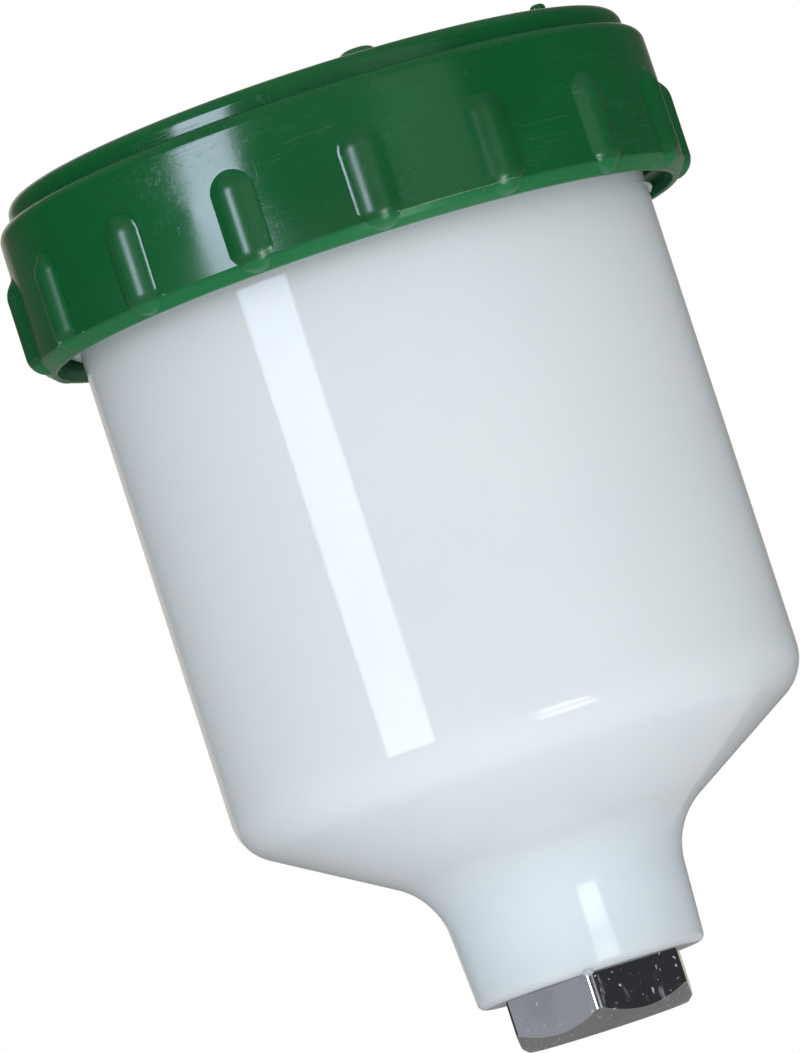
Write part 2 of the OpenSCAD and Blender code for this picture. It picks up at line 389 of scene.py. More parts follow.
@dataclass(frozen=True)
class Signal:
    """A number that varies over a surface or a curve. Arithmetic on it adds Math nodes."""

    builder: NodeBuilder
    socket: Socket

    def _math(self, operation: str, *operands: "Signal | float | None") -> "Signal":
        """Adds a Math node.

        Args:
            operation: what the node does.
            operands: its inputs, in order; None is this signal's own place.

        Returns:
            The node's result.
        """
        values = {index: self if operand is None else operand for index, operand in enumerate(operands)}
        node = self.builder.add("ShaderNodeMath", {"operation": operation}, values)
        return Signal(self.builder, node.outputs[0])

    def __add__(self, other: "Signal | float") -> "Signal":
        """Sum."""
        return self._math("ADD", None, other)

    __radd__ = __add__

    def __mul__(self, other: "Signal | float") -> "Signal":
        """Product."""
        return self._math("MULTIPLY", None, other)

    def __sub__(self, other: "Signal | float") -> "Signal":
        """Difference."""
        return self._math("SUBTRACT", None, other)

    def __rsub__(self, other: float) -> "Signal":
        """Difference from a number."""
        return self._math("SUBTRACT", other, None)

    def __truediv__(self, other: "Signal | float") -> "Signal":
        """Quotient."""
        return self._math("DIVIDE", None, other)

    def lowest(self, other: "Signal | float") -> "Signal":
        """The smaller of two numbers."""
        return self._math("MINIMUM", None, other)

    def size(self) -> "Signal":
        """The number without its sign."""
        return self._math("ABSOLUTE", None)

    def highest(self, other: "Signal | float") -> "Signal":
        """The larger of two numbers."""
        return self._math("MAXIMUM", None, other)

    def within(self, low: float, high: float, edge: float) -> "Signal":
        """Is 1 between low and high, and falls to 0 over the width of an edge."""
        return self.step(low - edge, low) * (1.0 - self.step(high, high + edge))

    def step(self, low: float, high: float) -> "Signal":
        """Rises smoothly from 0 at low to 1 at high.

        Args:
            low: where the rise starts.
            high: where it ends.

        Returns:
            The step, from 0 to 1.
        """
        node = self.builder.add(
            "ShaderNodeMapRange", {"interpolation_type": "SMOOTHSTEP"},
            {"Value": self, "From Min": low, "From Max": high},
        )
        return Signal(self.builder, node.outputs["Result"])


class SurfaceBuilder(NodeBuilder):
    """Builds one material on the piece's own coordinates."""

    def __init__(self, name: str) -> None:
        """Starts a material, and splits the place on its piece into x, y and z.

        Args:
            name: the material's name.
        """
        self.material = bpy.data.materials.new(name)
        self.material.use_nodes = True
        super().__init__(self.material.node_tree)
        self.place = self.add("ShaderNodeTexCoord").outputs["Object"]
        self.x, self.y, self.z = self.axes(self.place)

    def outside(self, low: float, high: float) -> Signal:
        """Rises from 0 to 1 between two distances from the vertical axis."""
        return (self.x * self.x + self.y * self.y).step(low ** 2, high ** 2)

    def grain(self, scale: float, stretch: Colour = (1.0, 1.0, 1.0), detail: float = 2.0,
              turn: float = 0.0) -> Signal:
        """Adds noise on the piece.

        Args:
            scale: how many features go into a metre.
            stretch: how much each axis is scaled before the noise.
            detail: the noise's octaves.
            turn: rotation of the pattern about the vertical axis.

        Returns:
            The noise, about 0.5 on average.
        """
        mapped = self.add(
            "ShaderNodeMapping", values={"Vector": self.place, "Scale": stretch, "Rotation": (0.0, turn, turn)}
        )
        noise = self.add(
            "ShaderNodeTexNoise", values={"Vector": mapped.outputs[0], "Scale": scale, "Detail": detail}
        )
        return self.signal(noise.outputs["Fac"])

    def scratches(self, scale: float, stretch: Colour, turn: float, width: float) -> Signal:
        """Thin wandering lines, where stretched noise crosses its middle value."""
        line = (self.grain(scale, stretch, 1.0, turn) - 0.5).size()
        return 1.0 - line.step(width * 0.3, width)

    def relief(self, height: Signal, depth: float, before: Socket | None = None) -> Socket:
        """Adds a bump.

        Args:
            height: the relief, from 0 to 1.
            depth: how deep it is.
            before: the normal of a bump under this one.

        Returns:
            The bumped normal.
        """
        values: dict[str | int, Any] = {"Height": height, "Distance": depth, "Strength": 1.0}
        if before is not None:
            values["Normal"] = before
        return self.add("ShaderNodeBump", values=values).outputs[0]

    def finish(self, values: dict[str | int, Any]) -> Material:
        """Ends the tree in a surface shader.

        Args:
            values: the surface shader's inputs, by name.

        Returns:
            The finished material.
        """
        shader = self.add("ShaderNodeBsdfPrincipled", values=values)
        self.add("ShaderNodeOutputMaterial", values={"Surface": shader.outputs[0]})
        return self.material


@dataclass(frozen=True)
class Nylon:
    """Glossy bluish-white moulded nylon, with faint rub marks."""

    name: str = "cup nylon"
    colour: Colour = (0.722, 0.806, 0.872)
    shade: Colour = (0.698, 0.784, 0.852)
    roughness: float = 0.055
    ripple_depth: float = 0.012 * MM
    rub_depth: float = 0.006 * MM
    skin_depth: float = 0.0012 * MM
    scatter: float = 6 * MM

    def material(self) -> Material:
        """Builds the material.

        Returns:
            The finished material.
        """
        surface = SurfaceBuilder(self.name)
        cloud = surface.grain(38.0, detail=3.0)
        lines = surface.scratches(48.0, stretch=(1.0, 1.0, 22.0), turn=0.12, width=0.010)
        rubs = lines * surface.grain(85.0).step(0.56, 0.70)
        ripple = surface.relief(surface.grain(60.0, stretch=(1.0, 1.0, 0.5)), self.ripple_depth)
        skin = surface.relief(surface.grain(2600.0), self.skin_depth, ripple)
        return surface.finish({
            "Base Color": surface.mix(self.colour, self.shade, cloud.step(0.35, 0.75)),
            "Roughness": self.roughness + cloud * 0.03 + rubs * 0.2,
            "Normal": surface.relief(rubs, self.rub_depth, skin),
            "Specular IOR Level": 0.25,
            "Subsurface Weight": 0.7,
            "Subsurface Radius": (0.9, 1.0, 1.1),
            "Subsurface Scale": self.scatter,
        })


@dataclass(frozen=True)
class GreenPlastic:
    """Glossy green moulded plastic, misted and dulled by handling, with pale flash and a painted glint at its
    parting line, and painted light on the rim band below it.
    """

    name: str
    colour: Colour = (0.0052, 0.102, 0.028)
    deep: Colour = (0.0040, 0.084, 0.022)
    # Painted light: a lighter green for the rim band below the parting line, standing in for light from below
    # shining through its narrow edge.
    painted_light_rim: Colour = (0.0090, 0.160, 0.050)
    scuff: Colour = (0.05, 0.17, 0.10)
    # Pale flash, partly a painted glint where the light catches the parting line.
    flash_and_glint: Colour = (0.20, 0.42, 0.27)
    roughness: float = 0.12
    parting_z: float | None = None
    parting_width: float = 0.11 * MM
    grip_r: float = 40.3 * MM
    grip_dulling: float = 0.16
    low_band: float = 8 * MM
    flash_and_glint_span: Point = (9.5 * MM, 19.0 * MM)
    ripple_depth: float = 0.022 * MM
    mark_depth: float = 0.006 * MM
    skin_depth: float = 0.0032 * MM

    def material(self) -> Material:
        """Builds the material.

        Returns:
            The finished material.
        """
        surface = SurfaceBuilder(self.name)
        cloud = surface.grain(45.0, detail=3.0)
        mist = surface.grain(62.0, stretch=(1.0, 1.0, 1.6), detail=4.0).step(0.42, 0.72)
        dust = surface.grain(1500.0, detail=3.0).step(0.52, 0.74)
        worn = surface.grain(80.0).step(0.46, 0.66)
        lines = surface.scratches(70.0, stretch=(1.0, 1.0, 24.0), turn=0.10, width=0.014) * worn
        nicks = surface.scratches(140.0, stretch=(7.0, 1.0, 2.0), turn=0.9, width=0.006)
        nicks = nicks * surface.grain(150.0).step(0.60, 0.70)
        marks = (lines * 0.6 + nicks + dust * mist * 0.5).lowest(1.0)
        colour = surface.mix(self.colour, self.deep, cloud.step(0.35, 0.7))
        colour = surface.mix(colour, self.scuff, marks * 0.28)
        handled = surface.outside(self.grip_r, self.grip_r + 0.45 * MM)
        if self.parting_z is not None:
            low = 1.0 - surface.z.step(self.parting_z + 0.5 * MM, self.parting_z + self.low_band)
            handled = handled.highest(low * 0.5)
            # Painted light: the rim band below the parting line is painted a lighter green, as if lit through from
            # below.
            painted_light_rim_share = 1.0 - surface.z.step(self.parting_z - 0.5 * MM, self.parting_z + 0.2 * MM)
            colour = surface.mix(colour, self.painted_light_rim, painted_light_rim_share)
            # Real pale flash and painted glint along the parting line.
            colour = surface.mix(colour, self.flash_and_glint, self._flash_and_glint(surface))
        ripple = surface.relief(surface.grain(110.0), self.ripple_depth)
        skin = surface.relief(surface.grain(2300.0, detail=3.0), self.skin_depth, ripple)
        return surface.finish({
            "Base Color": colour,
            "Roughness": self.roughness + handled * self.grip_dulling + mist * 0.07 + marks * 0.22,
            "Normal": surface.relief(marks, self.mark_depth, skin),
            "Specular IOR Level": 0.5,
        })

    def _flash_and_glint(self, surface: SurfaceBuilder) -> Signal:
        """Finds where pale flash and painted glint show: a narrow line right of the front, and a few specks
        elsewhere.

        Args:
            surface: the material's builder.

        Returns:
            How much flash and painted glint shows, from 0 to 1.
        """
        height = (surface.z - self.parting_z).size() + surface.grain(900.0) * self.parting_width
        on_line = 1.0 - height.step(self.parting_width * 0.8, self.parting_width * 1.4)
        # Painted glint: the line shows only right of the front, where the light catches it; the specks are partly
        # flash and partly painted glints.
        flash_and_glint_front = surface.x.within(*self.flash_and_glint_span, 2 * MM) * (1.0 - surface.y.step(-20 * MM, -10 * MM))
        specks = surface.grain(420.0).step(0.66, 0.70)
        return (on_line * (flash_and_glint_front * 0.35 + specks)).lowest(1.0)


@dataclass(frozen=True)
class Plating:
    """Bright plated brass with faint upright rub marks, and pale dust that the plating shows up."""

    name: str = "plated metal"
    colour: Colour = (0.72, 0.73, 0.76)
    dull: Colour = (0.60, 0.61, 0.65)
    dust: Colour = (0.62, 0.64, 0.66)
    roughness: float = 0.05
    drawn_depth: float = 0.0015 * MM

    def material(self) -> Material:
        """Builds the material.

        Returns:
            The finished material.
        """
        surface = SurfaceBuilder(self.name)
        patchy = surface.grain(230.0).step(0.32, 0.52)
        specks = surface.grain(1700.0, detail=2.0).step(0.65, 0.72) * patchy
        haze = surface.grain(190.0, detail=3.0).step(0.45, 0.75)
        drawn = surface.grain(900.0, stretch=(1.0, 1.0, 0.05))
        rubs = surface.grain(1300.0, stretch=(1.0, 1.0, 0.12)).step(0.58, 0.72)
        rubs = rubs * surface.grain(300.0, detail=3.0).step(0.46, 0.60)
        dust = (specks * 0.8 + rubs * 0.25).lowest(1.0)
        plate = surface.mix(self.colour, self.dull, haze * 0.5)
        return surface.finish({
            "Base Color": surface.mix(plate, self.dust, dust),
            "Metallic": 1.0 - dust * 0.9,
            "Roughness": self.roughness + haze * 0.05 + dust * 0.35,
            "Normal": surface.relief(drawn, self.drawn_depth),
        })


@dataclass(frozen=True)
class SoftPlastic:
    """Matt moulded plastic for the parts inside the cup and lid."""

    name: str
    colour: Colour
    roughness: float = 0.42
    grain_scale: float = 1500.0
    grain_depth: float = 0.01 * MM
    cloud_shade: float = 0.86

    def material(self) -> Material:
        """Builds the material.

        Returns:
            The finished material.
        """
        surface = SurfaceBuilder(self.name)
        cloud = surface.grain(140.0, detail=3.0)
        darker = tuple(self.cloud_shade * channel for channel in self.colour)
        return surface.finish({
            "Base Color": surface.mix(self.colour, darker, cloud.step(0.4, 0.7)),
            "Roughness": self.roughness + cloud * 0.1,
            "Normal": surface.relief(surface.grain(self.grain_scale), self.grain_depth),
        })


class Pattern(NodeBuilder):
    """A geometry node tree with named inputs, run once on a piece and kept as a plain mesh."""

    def __init__(self, name: str, numbers: dict[str, float], counts: dict[str, int]) -> None:
        """Makes the tree's inputs.

        Args:
            name: the tree's name.
            numbers: the tree's sizes and their defaults.
            counts: the tree's whole numbers and their defaults.
        """
        super().__init__(bpy.data.node_groups.new(name, "GeometryNodeTree"))
        face = self.tree.interface
        face.new_socket("Geometry", in_out="INPUT", socket_type="NodeSocketGeometry")
        face.new_socket("Material", in_out="INPUT", socket_type="NodeSocketMaterial")
        for kind, inputs in (("NodeSocketFloat", numbers), ("NodeSocketInt", counts)):
            for label, default in inputs.items():
                face.new_socket(label, in_out="INPUT", socket_type=kind).default_value = default
        face.new_socket("Geometry", in_out="OUTPUT", socket_type="NodeSocketGeometry")
        self.given = self.add("NodeGroupInput").outputs

    def close(self, geometry: Socket) -> None:
        """Ends the tree: real geometry, with its material.

        Args:
            geometry: what the tree has made.
        """
        real = self.add("GeometryNodeRealizeInstances", values={0: geometry})
        dressed = self.add(
            "GeometryNodeSetMaterial", values={"Geometry": real.outputs[0], "Material": self.given["Material"]}
        )
        self.add("NodeGroupOutput", values={0: dressed.outputs[0]})

    def run(self, piece: Piece, material: Material, values: dict[str, float | int]) -> Piece:
        """Runs the tree on a piece.

        Args:
            piece: the base piece, which is removed.
            material: what the pattern's faces wear.
            values: the tree's inputs, by name.

        Returns:
            The pattern as a plain mesh, under the base piece's name.
        """
        name = piece.name
        piece.modifiers.clear()
        modifier = piece.modifiers.new("pattern", "NODES")
        modifier.node_group = self.tree
        for item in self.tree.interface.items_tree:
            if item.in_out == "INPUT" and item.name in values:
                modifier[item.identifier] = values[item.name]
            elif item.in_out == "INPUT" and item.name == "Material":
                modifier[item.identifier] = material
        plain = as_plain_mesh(piece, name)
        soften(plain)
        return plain


class RingPattern(Pattern):
    """Copies of a piece, evenly round the vertical axis."""

    def __init__(self) -> None:
        """Builds the tree."""
        super().__init__("ring pattern", {"Turn": 0.0}, {"Count": 16})
        ring = self.add("GeometryNodeMeshCircle", values={"Vertices": self.given["Count"], "Radius": MM})
        index = self.signal(self.add("GeometryNodeInputIndex").outputs[0])
        turn = self.signal(self.given["Turn"]) + index * math.tau / self.signal(self.given["Count"])
        spin = self.add("ShaderNodeCombineXYZ", values={"Z": turn})
        at_axis = self.add("GeometryNodeSetPosition", values={"Geometry": ring.outputs[0], "Position": (0, 0, 0)})
        copies = self.add(
            "GeometryNodeInstanceOnPoints",
            values={"Points": at_axis.outputs[0], "Instance": self.given["Geometry"], "Rotation": spin.outputs[0]},
        )
        self.close(copies.outputs[0])


class HelixPattern(Pattern):
    """A thread's ridge: a rounded or pointed section along a right-hand helix, with run-out ends."""

    def __init__(self) -> None:
        """Builds the tree."""
        super().__init__(
            "helix pattern",
            {"Radius": 35 * MM, "Pitch": 5 * MM, "Turns": 2.5, "Start": 0.0, "Turn": 0.0,
             "Proud": 1.9 * MM, "Half width": 1.2 * MM, "Run out": 0.06},
            {"Steps": 96, "Sides": 16},
        )
        radius, turns = self.given["Radius"], self.signal(self.given["Turns"])
        helix = self.add(
            "GeometryNodeCurveSpiral",
            values={"Resolution": self.given["Steps"], "Rotations": turns, "Start Radius": radius,
                    "End Radius": radius, "Height": turns * self.signal(self.given["Pitch"]), "Reverse": True},
        )
        along = self.signal(self.add("GeometryNodeSplineParameter").outputs["Factor"])
        run_out = self.signal(self.given["Run out"])
        rise = (along.lowest(1.0 - along) / run_out).step(0.0, 1.0) * 0.97 + 0.03
        upright = self.add("GeometryNodeSetCurveNormal", {"mode": "Z_UP"}, {"Curve": helix.outputs[0]})
        ring = self.add("GeometryNodeCurvePrimitiveCircle",
                        values={"Resolution": self.given["Sides"], "Radius": 1.0})
        scale = self.add("ShaderNodeCombineXYZ", values={"X": self.given["Proud"], "Y": self.given["Half width"],
                                                         "Z": 1.0})
        section = self.add("GeometryNodeTransform", values={"Geometry": ring.outputs[0], "Scale": scale.outputs[0]})
        ridge = self.add(
            "GeometryNodeCurveToMesh",
            values={"Curve": upright.outputs[0], "Profile Curve": section.outputs[0], "Scale": rise,
                    "Fill Caps": True},
        )
        lift = self.add("ShaderNodeCombineXYZ", values={"Z": self.given["Start"]})
        spin = self.add("ShaderNodeCombineXYZ", values={"Z": self.given["Turn"]})
        placed = self.add(
            "GeometryNodeTransform",
            values={"Geometry": ridge.outputs[0], "Translation": lift.outputs[0], "Rotation": spin.outputs[0]},
        )
        self.close(placed.outputs[0])


class GauzePattern(Pattern):
    """A woven sleeve: hoops up the axis and straight wires round it."""

    def __init__(self) -> None:
        """Builds the tree."""
        super().__init__(
            "gauze pattern",
            {"Radius": 5.6 * MM, "Foot": 0.0, "Length": 24 * MM, "Wire": 0.1 * MM},
            {"Hoops": 34, "Wires": 48},
        )
        length = self.signal(self.given["Length"])
        hoops = self.signal(self.given["Hoops"])
        gap = self.add("ShaderNodeCombineXYZ", values={"Z": length / (hoops - 1.0)})
        rungs = self.add("GeometryNodeMeshLine", values={"Count": self.given["Hoops"], "Offset": gap.outputs[0]})
        hoop = self.add("GeometryNodeCurvePrimitiveCircle",
                        values={"Resolution": self.given["Wires"], "Radius": self.given["Radius"]})
        hoop_set = self.add("GeometryNodeInstanceOnPoints",
                            values={"Points": rungs.outputs[0], "Instance": hoop.outputs[0]})
        posts = self.add("GeometryNodeMeshCircle",
                         values={"Vertices": self.given["Wires"], "Radius": self.given["Radius"]})
        top = self.add("ShaderNodeCombineXYZ", values={"Z": length})
        wire = self.add("GeometryNodeCurvePrimitiveLine", values={"End": top.outputs[0]})
        wire_set = self.add("GeometryNodeInstanceOnPoints",
                            values={"Points": posts.outputs[0], "Instance": wire.outputs[0]})
        both = self.add("GeometryNodeJoinGeometry")
        for source in (hoop_set, wire_set):
            self.tree.links.new(source.outputs[0], both.inputs[0])
        curves = self.add("GeometryNodeRealizeInstances", values={0: both.outputs[0]})
        round_wire = self.add("GeometryNodeCurvePrimitiveCircle",
                              values={"Resolution": 6, "Radius": self.given["Wire"]})
        net = self.add("GeometryNodeCurveToMesh",
                       values={"Curve": curves.outputs[0], "Profile Curve": round_wire.outputs[0],
                               "Fill Caps": True})
        lift = self.add("ShaderNodeCombineXYZ", values={"Z": self.given["Foot"]})
        placed = self.add("GeometryNodeTransform",
                          values={"Geometry": net.outputs[0], "Translation": lift.outputs[0]})
        self.close(placed.outputs[0])


def empty_piece(name: str) -> Piece:
    """Makes a piece with no mesh yet, for a pattern that makes all of it.

    Args:
        name: the piece's name.

    Returns:
        The empty piece.
    """
    return add_object(name, bpy.data.meshes.new(name))


def dress(piece: Piece, material: Material, body: Body, stands_for: Sequence[str] = ()) -> None:
    """Gives a piece its material and body, and hides the CAD nodes that it replaces.

    Args:
        piece: the finished piece.
        material: its material.
        body: the body that it rides on.
        stands_for: the CAD nodes that it replaces.
    """
    piece.data.materials.clear()
    piece.data.materials.append(material)
    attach(piece, body.value)
    if stands_for:
        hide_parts(*stands_for)
    log.info("%s rides on %s", piece.name, body.value)


def thread_ridge(name: str, helix: HelixPattern, material: Material, values: dict[str, float | int]) -> Piece:
    """Makes a thread's ridge as a piece of its own.

    Args:
        name: the piece's name.
        helix: the pattern that makes it.
        material: what it wears.
        values: the thread's sizes, by the pattern's names.

    Returns:
        The new piece.
    """
    return helix.run(empty_piece(name), material, values)


@dataclass
class Cup:
    """The nylon cup with its mouth thread, and the speck of flash on its neck."""

    wall: float = 2 * MM
    cone_angle: float = math.radians(59)
    neck_low_r: float = 13.95 * MM
    neck_top_r: float = 14.75 * MM
    neck_len: float = 14.3 * MM
    neck_round: float = 9 * MM
    neck_edge: float = 1.0 * MM
    shoulder_round: float = 6.2 * MM
    lip_round: float = 0.6 * MM
    stem_r: float = 10.5 * MM
    hole_r: float = 7.2 * MM
    floor_t: float = 1.1 * MM
    thread_pitch: float = 5 * MM
    thread_proud: float = 1.7 * MM
    thread_half: float = 1.05 * MM
    thread_turns: float = 2.4
    thread_start_z: float = 93.0 * MM
    thread_turn: float = math.radians(-19)
    speck_size: Place = (0.62 * MM, 0.55 * MM, 0.42 * MM)
    speck_side: float = -0.4 * MM
    speck_lump: float = 0.16
    speck_ripple: float = 0.08
    radius: float = field(init=False)
    rim_z: float = field(init=False)
    neck_z: float = field(init=False)
    floor_z: float = field(init=False)

    def __post_init__(self) -> None:
        """Reads the cup's size from the frame."""
        low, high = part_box("cup_body")
        self.radius, self.rim_z, self.neck_z = high.x, high.z, low.z
        lift = self.wall / math.sin(self.cone_angle)
        drop = (self.neck_top_r - self.hole_r) / math.tan(self.cone_angle)
        self.floor_z = self.neck_z + self.neck_len + lift - drop

    def shell(self) -> Piece:
        """Makes the cup's barrel, cone and neck.

        Returns:
            The new piece.
        """
        cone_z = self.neck_z + self.neck_len
        barrel_z = cone_z + (self.radius - self.neck_top_r) / math.tan(self.cone_angle)
        inner_r = self.radius - self.wall
        inner_z = self.floor_z + (inner_r - self.hole_r) / math.tan(self.cone_angle)
        stem_z = self.floor_z - self.floor_t
        return turned("cup_shell", [
            Corner(self.stem_r, self.neck_z),
            Corner(self.neck_low_r, self.neck_z, self.neck_edge),
            Corner(self.neck_top_r, cone_z, self.neck_round, 24),
            Corner(self.radius, barrel_z, self.shoulder_round, 24),
            Corner(self.radius, self.rim_z, self.lip_round, 6),
            Corner(inner_r, self.rim_z, self.lip_round, 6),
            Corner(inner_r, inner_z, self.shoulder_round - self.wall),
            Corner(self.hole_r, self.floor_z, 0.3 * MM, 4),
            Corner(self.hole_r, stem_z),
            Corner(self.stem_r, stem_z),
        ])

    def speck(self) -> Piece:
        """Makes the lumpy speck of flash under the neck's lip, at the front.

        Returns:
            The new piece.
        """
        bm = bmesh.new()
        bmesh.ops.create_icosphere(bm, subdivisions=4, radius=1.0)
        depth, height = self.neck_edge * 0.5 - self.neck_low_r, self.neck_z + self.neck_edge * 0.08
        place = Vector((self.speck_side, depth, height))
        for vert in bm.verts:
            x, y, z = vert.co
            lump = 1 + self.speck_lump * math.sin(4.1 * x + 1.3) * math.cos(3.7 * z)
            lump += self.speck_ripple * math.sin(7 * y)
            vert.co = place + Vector(size * value * lump for size, value in zip(self.speck_size, vert.co))
        return keep_solid("neck_flash", bm)

    def build(self, helix: HelixPattern) -> None:
        """Makes and dresses the cup's pieces.

        Args:
            helix: the pattern that makes the thread.
        """
        nylon = Nylon().material()
        dress(self.speck(), nylon, Body.CUP)
        dress(self.shell(), nylon, Body.CUP, ["cup_body"])
        ridge = thread_ridge("mouth_thread", helix, nylon, {
            "Radius": self.radius, "Pitch": self.thread_pitch, "Turns": self.thread_turns,
            "Start": self.thread_start_z, "Turn": self.thread_turn, "Proud": self.thread_proud,
            "Half width": self.thread_half,
        })
        dress(ridge, nylon, Body.CUP)


@dataclass
class Insert:
    """The plated hexagon insert with its female thread."""

    land_r: float = 9.85 * MM
    chamfer_h: float = 2.1 * MM
    corner_round: float = 0.8 * MM
    edge_round: float = 0.16 * MM
    hex_sunk: float = 0.95 * MM
    turn: float = math.radians(-2)
    crest_r: float = 7.2 * MM
    root_r: float = 8.0 * MM
    thread_len: float = 11.5 * MM
    thread_pitch: float = 1.5 * MM
    mouth: float = 0.8 * MM
    thread_start: float = 1.12 * MM
    throat_r: float = 5.8 * MM
    seat_deep: float = 4 * MM
    stem_r: float = 10.5 * MM
    ridge_share: float = 0.42
    flat_steps: int = 22

    def hexagon(self, corner_r: float) -> list[Point]:
        """Draws the hexagon, with rounded corners and finely divided flats.

        Args:
            corner_r: how far the corners would stand from the axis if they were sharp.

        Returns:
            The outline's points.
        """
        angles = [self.turn - math.pi / 2 + math.tau * side / 6 for side in range(6)]
        corners = [Corner(corner_r * math.cos(a), corner_r * math.sin(a), self.corner_round, 6) for a in angles]
        outline = rounded(corners)
        points: list[Point] = []
        for here, following in zip(outline, outline[1:] + outline[:1]):
            span = Vector(following) - Vector(here)
            steps = self.flat_steps if span.length > 2 * self.corner_round else 1
            points += [tuple(Vector(here) + span * step / steps) for step in range(steps)]
        return points

    def build(self, cup: Cup, helix: HelixPattern) -> None:
        """Makes and dresses the insert's pieces.

        Args:
            cup: the cup that holds it.
            helix: the pattern that makes the thread.
        """
        low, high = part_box("thread_insert")
        corner_r = high.x / math.cos(math.radians(30) + self.turn)
        ring = self.hexagon(corner_r)
        radii = {math.atan2(y, x): math.hypot(x, y) for x, y in ring}
        slope = self.chamfer_h / (corner_r - self.land_r)
        top_z, hex_z, seat_z = high.z, cup.neck_z + self.hex_sunk, high.z - self.seat_deep

        def section(angle: float) -> list[Point]:
            """Draws the insert's section at one angle.

            Args:
                angle: the angle about the axis.

            Returns:
                The closed section's points, as radius and height.
            """
            flat_r = radii[angle]
            return rounded([
                Corner(self.land_r, low.z),
                Corner(flat_r, (flat_r - self.land_r) * slope, self.edge_round, 3),
                Corner(flat_r, hex_z),
                Corner(self.stem_r, hex_z),
                Corner(self.stem_r, top_z),
                Corner(cup.hole_r, top_z),
                Corner(cup.hole_r, seat_z),
                Corner(self.throat_r, seat_z),
                Corner(self.throat_r, self.thread_len),
                Corner(self.root_r, self.thread_len),
                Corner(self.root_r, self.mouth),
                Corner(self.root_r + self.mouth, low.z),
            ])

        bm = bmesh.new()
        sweep_round(bm, section, sorted(radii))
        plating = Plating().material()
        dress(keep_solid("hexagon_insert", bm), plating, Body.CUP, ["thread_insert"])
        ridge = thread_ridge("insert_thread", helix, plating, {
            "Radius": self.root_r, "Pitch": self.thread_pitch,
            "Turns": (self.thread_len - 2 * self.mouth) / self.thread_pitch, "Start": self.thread_start,
            "Proud": self.root_r - self.crest_r, "Half width": self.thread_pitch * self.ridge_share,
            "Sides": 4, "Run out": 0.02, "Steps": 72,
        })
        dress(ridge, plating, Body.CUP)


